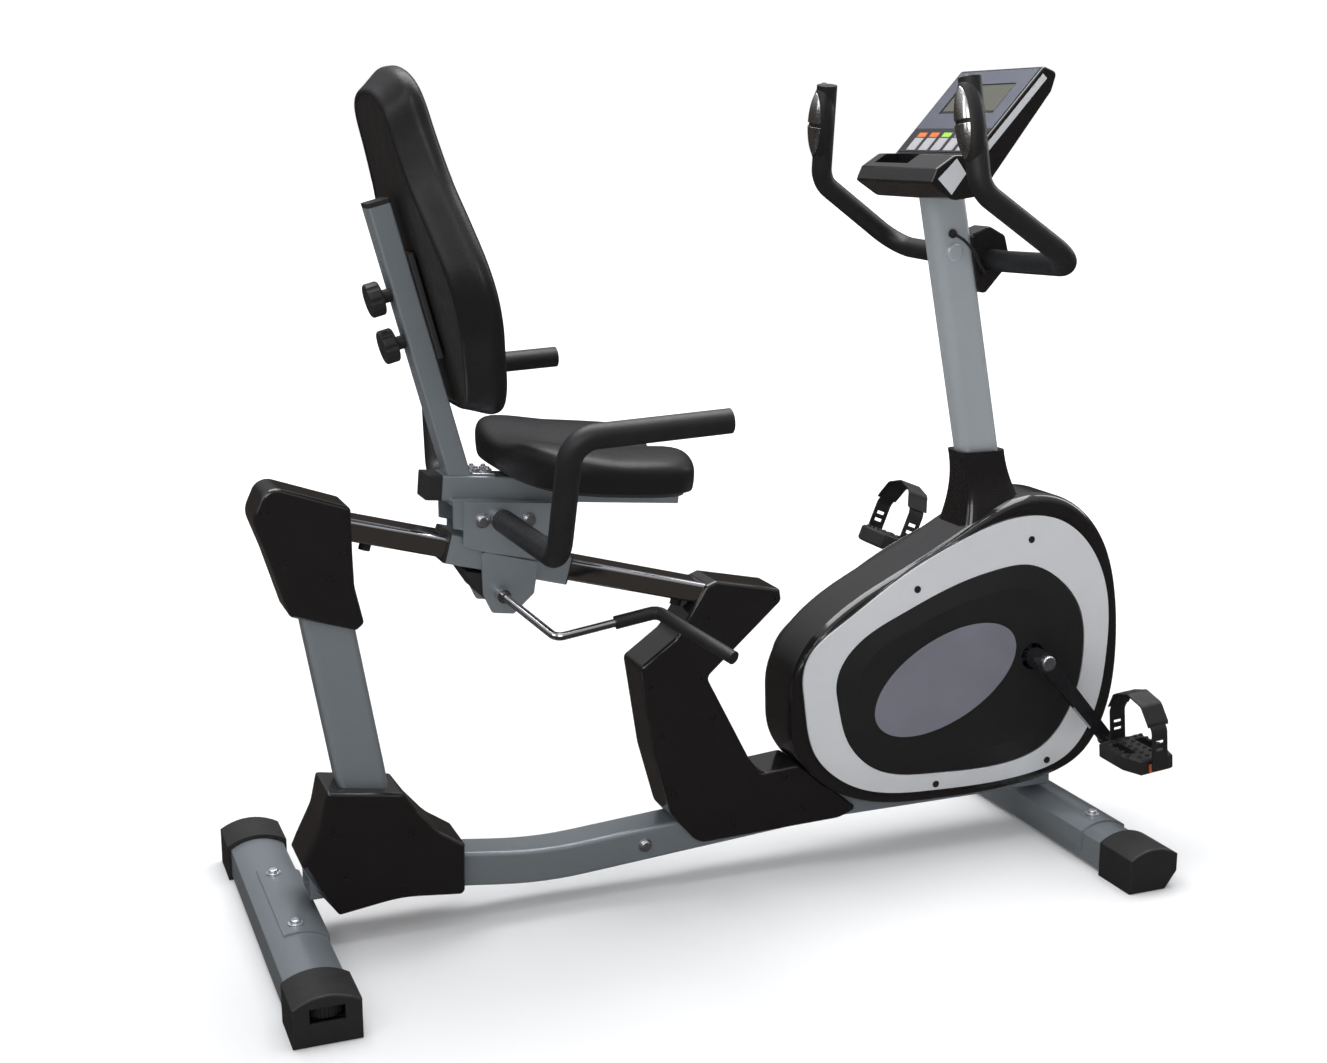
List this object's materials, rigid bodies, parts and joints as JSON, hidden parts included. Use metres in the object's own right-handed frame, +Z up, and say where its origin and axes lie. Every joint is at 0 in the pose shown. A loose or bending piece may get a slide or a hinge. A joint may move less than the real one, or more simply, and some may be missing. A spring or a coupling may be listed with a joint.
{
  "type": "recumbent exercise bike",
  "caption": "Recumbent exercise bike: sliding seat with backrest on a sloped rail, belt-driven flywheel in an egg-shaped housing, mast with console and curved handlebar.",
  "frame": {"origin": "on the floor under the middle of the bike's overall box", "axes": "+Z up, +X forward from the seat towards the console, +Y to the rider's left"},
  "size_m": [1.348, 0.705, 1.1651],
  "materials": {
    "silver_paint": "silver-grey metallic powder coat",
    "mast_paint": "light bluish silver metallic paint",
    "ring_silver": "satin silver paint",
    "black_gloss": "glossy black moulded ABS",
    "black_satin": "satin black plastic",
    "black_matte": "matte black moulded plastic",
    "badge_grey": "mid-grey satin plate",
    "vinyl": "black fine-grain vinyl",
    "foam": "black satin foam sleeve",
    "black_rubber": "black rubber",
    "rail_chrome": "polished chrome",
    "sensor_chrome": "chromed plastic",
    "zinc": "bright zinc-plated steel",
    "crank_black": "glossy black enamel",
    "cast_grey": "turned cast iron, grey",
    "console_grey": "blue-grey metallic panel",
    "screen": "greenish-grey display pane",
    "key_grey": "light grey key caps",
    "board": "black painted steel and board"
  },
  "bodies": {
    "frame": {"stabilisers": "silver_paint", "end_caps": "black_matte", "rear_post": "silver_paint", "base_tubes": "silver_paint", "rail_tube": "rail_chrome", "inner_frame": "silver_paint", "rear_top_cover": "black_gloss", "rear_foot_cover": "black_gloss", "rail_cover": "black_gloss", "housing_shells": "black_gloss", "trim_rings": "ring_silver", "side_discs": "black_satin", "badges": "badge_grey", "mast_boot": "black_gloss", "mast": "mast_paint", "console_case": "black_gloss", "console_face": "console_grey", "console_screen": "screen", "clamp_cover": "black_gloss", "cover_screws": "black_satin", "frame_bolts": "zinc", "rail_bumpers": "black_rubber", "drive_belt": "black_rubber", "brake_motor": "black_matte", "pulse_cable": "black_rubber"},
    "crank": {"crank_axle": "zinc", "crank_arms": "crank_black"},
    "pedal_right": {"pedal_right": "black_matte", "strap_right": "black_rubber"},
    "pedal_left": {"pedal_left": "black_matte", "strap_left": "black_rubber"},
    "flywheel": {"flywheel": "cast_grey"},
    "magnet_bracket": {"magnet_bracket": "zinc"},
    "seat": {"carriage_sleeve": "silver_paint", "carriage_glides": "black_matte", "seat_frame": "silver_paint", "back_post": "silver_paint", "tube_caps": "black_matte", "side_handles": "rail_chrome", "side_grips": "foam", "seat_pan": "board", "seat_cushion": "vinyl", "seat_bolts": "zinc"},
    "lever": {"lock_lever": "rail_chrome", "lever_grip": "foam"},
    "backrest": {"back_board": "board", "back_cushion": "vinyl"},
    "knob_upper": {"knob_upper": "black_matte"},
    "knob_lower": {"knob_lower": "black_matte"},
    "handlebar": {"handlebar": "foam", "hand_sensors": "sensor_chrome"},
    "dial_left": {"dial_left": "black_matte"},
    "dial_right": {"dial_right": "black_matte"},
    "roller_left": {"roller_left": "black_matte"},
    "roller_right": {"roller_right": "black_matte"},
    "key_1": {"key_1": "key_grey"},
    "key_2": {"key_2": "key_grey"},
    "key_3": {"key_3": "key_grey"},
    "key_4": {"key_4": "key_grey"},
    "key_5": {"key_5": "key_grey"}
  },
  "joints": [
    {"name": "crank_spin", "type": "hinge", "parent": "frame", "child": "crank", "pos_m": [0.504, 0, 0.297], "axis": [0, 1, 0], "continuous": true},
    {"name": "pedal_right_spin", "type": "hinge", "parent": "crank", "child": "pedal_right", "pos_m": [0.62209, -0.174, 0.16115], "axis": [0, 1, 0], "continuous": true},
    {"name": "pedal_left_spin", "type": "hinge", "parent": "crank", "child": "pedal_left", "pos_m": [0.38591, 0.174, 0.43285], "axis": [0, 1, 0], "continuous": true},
    {"name": "flywheel_spin", "type": "hinge", "parent": "frame", "child": "flywheel", "pos_m": [0.271, 0, 0.252], "axis": [0, 1, 0], "continuous": true},
    {"name": "magnet_swing", "type": "hinge", "parent": "frame", "child": "magnet_bracket", "pos_m": [0.255, 0, 0.372], "axis": [0, 1, 0], "range_deg": [0, 8]},
    {"name": "seat_slide", "type": "slide", "parent": "frame", "child": "seat", "axis": [0.9659, 0, -0.2588], "range_m": [-0.088, 0.172]},
    {"name": "lever_lift", "type": "hinge", "parent": "seat", "child": "lever", "pos_m": [-0.328, 0, 0.47], "axis": [0, -1, 0], "range_deg": [0, 25]},
    {"name": "backrest_slide", "type": "slide", "parent": "seat", "child": "backrest", "axis": [-0.2588, 0, 0.9659], "range_m": [-0.025, 0.036]},
    {"name": "knob_upper_turn", "type": "hinge", "parent": "backrest", "child": "knob_upper", "pos_m": [-0.44022, 0, 0.87541], "axis": [0.9659, 0, 0.2588], "range_deg": [-360, 0]},
    {"name": "knob_lower_turn", "type": "hinge", "parent": "backrest", "child": "knob_lower", "pos_m": [-0.42392, 0, 0.81456], "axis": [0.9659, 0, 0.2588], "range_deg": [-360, 0]},
    {"name": "handlebar_tilt", "type": "hinge", "parent": "frame", "child": "handlebar", "pos_m": [0.43, 0, 0.895], "axis": [0, 1, 0], "range_deg": [-12, 12]},
    {"name": "dial_left_turn", "type": "hinge", "parent": "frame", "child": "dial_left", "pos_m": [-0.631, 0.276, 0.04], "axis": [0, 0, 1], "range_deg": [-180, 180]},
    {"name": "dial_right_turn", "type": "hinge", "parent": "frame", "child": "dial_right", "pos_m": [-0.631, -0.276, 0.04], "axis": [0, 0, 1], "range_deg": [-180, 180]},
    {"name": "roller_left_spin", "type": "hinge", "parent": "frame", "child": "roller_left", "pos_m": [0.584, 0.276, 0.024], "axis": [0, 1, 0], "continuous": true},
    {"name": "roller_right_spin", "type": "hinge", "parent": "frame", "child": "roller_right", "pos_m": [0.584, -0.276, 0.024], "axis": [0, 1, 0], "continuous": true},
    {"name": "key_1_press", "type": "slide", "parent": "frame", "child": "key_1", "axis": [0.7402, 0, -0.6724], "range_m": [0, 0.0012], "stiffness_N_per_m": 800},
    {"name": "key_2_press", "type": "slide", "parent": "frame", "child": "key_2", "axis": [0.7402, 0, -0.6724], "range_m": [0, 0.0012], "stiffness_N_per_m": 800},
    {"name": "key_3_press", "type": "slide", "parent": "frame", "child": "key_3", "axis": [0.7402, 0, -0.6724], "range_m": [0, 0.0012], "stiffness_N_per_m": 800},
    {"name": "key_4_press", "type": "slide", "parent": "frame", "child": "key_4", "axis": [0.7402, 0, -0.6724], "range_m": [0, 0.0012], "stiffness_N_per_m": 800},
    {"name": "key_5_press", "type": "slide", "parent": "frame", "child": "key_5", "axis": [0.7402, 0, -0.6724], "range_m": [0, 0.0012], "stiffness_N_per_m": 800}
  ],
  "couplings": [
    {"joint": "pedal_right_spin", "follows": "crank_spin", "ratio": -1},
    {"joint": "pedal_left_spin", "follows": "crank_spin", "ratio": -1},
    {"joint": "flywheel_spin", "follows": "crank_spin", "ratio": 7.1656}
  ]
}
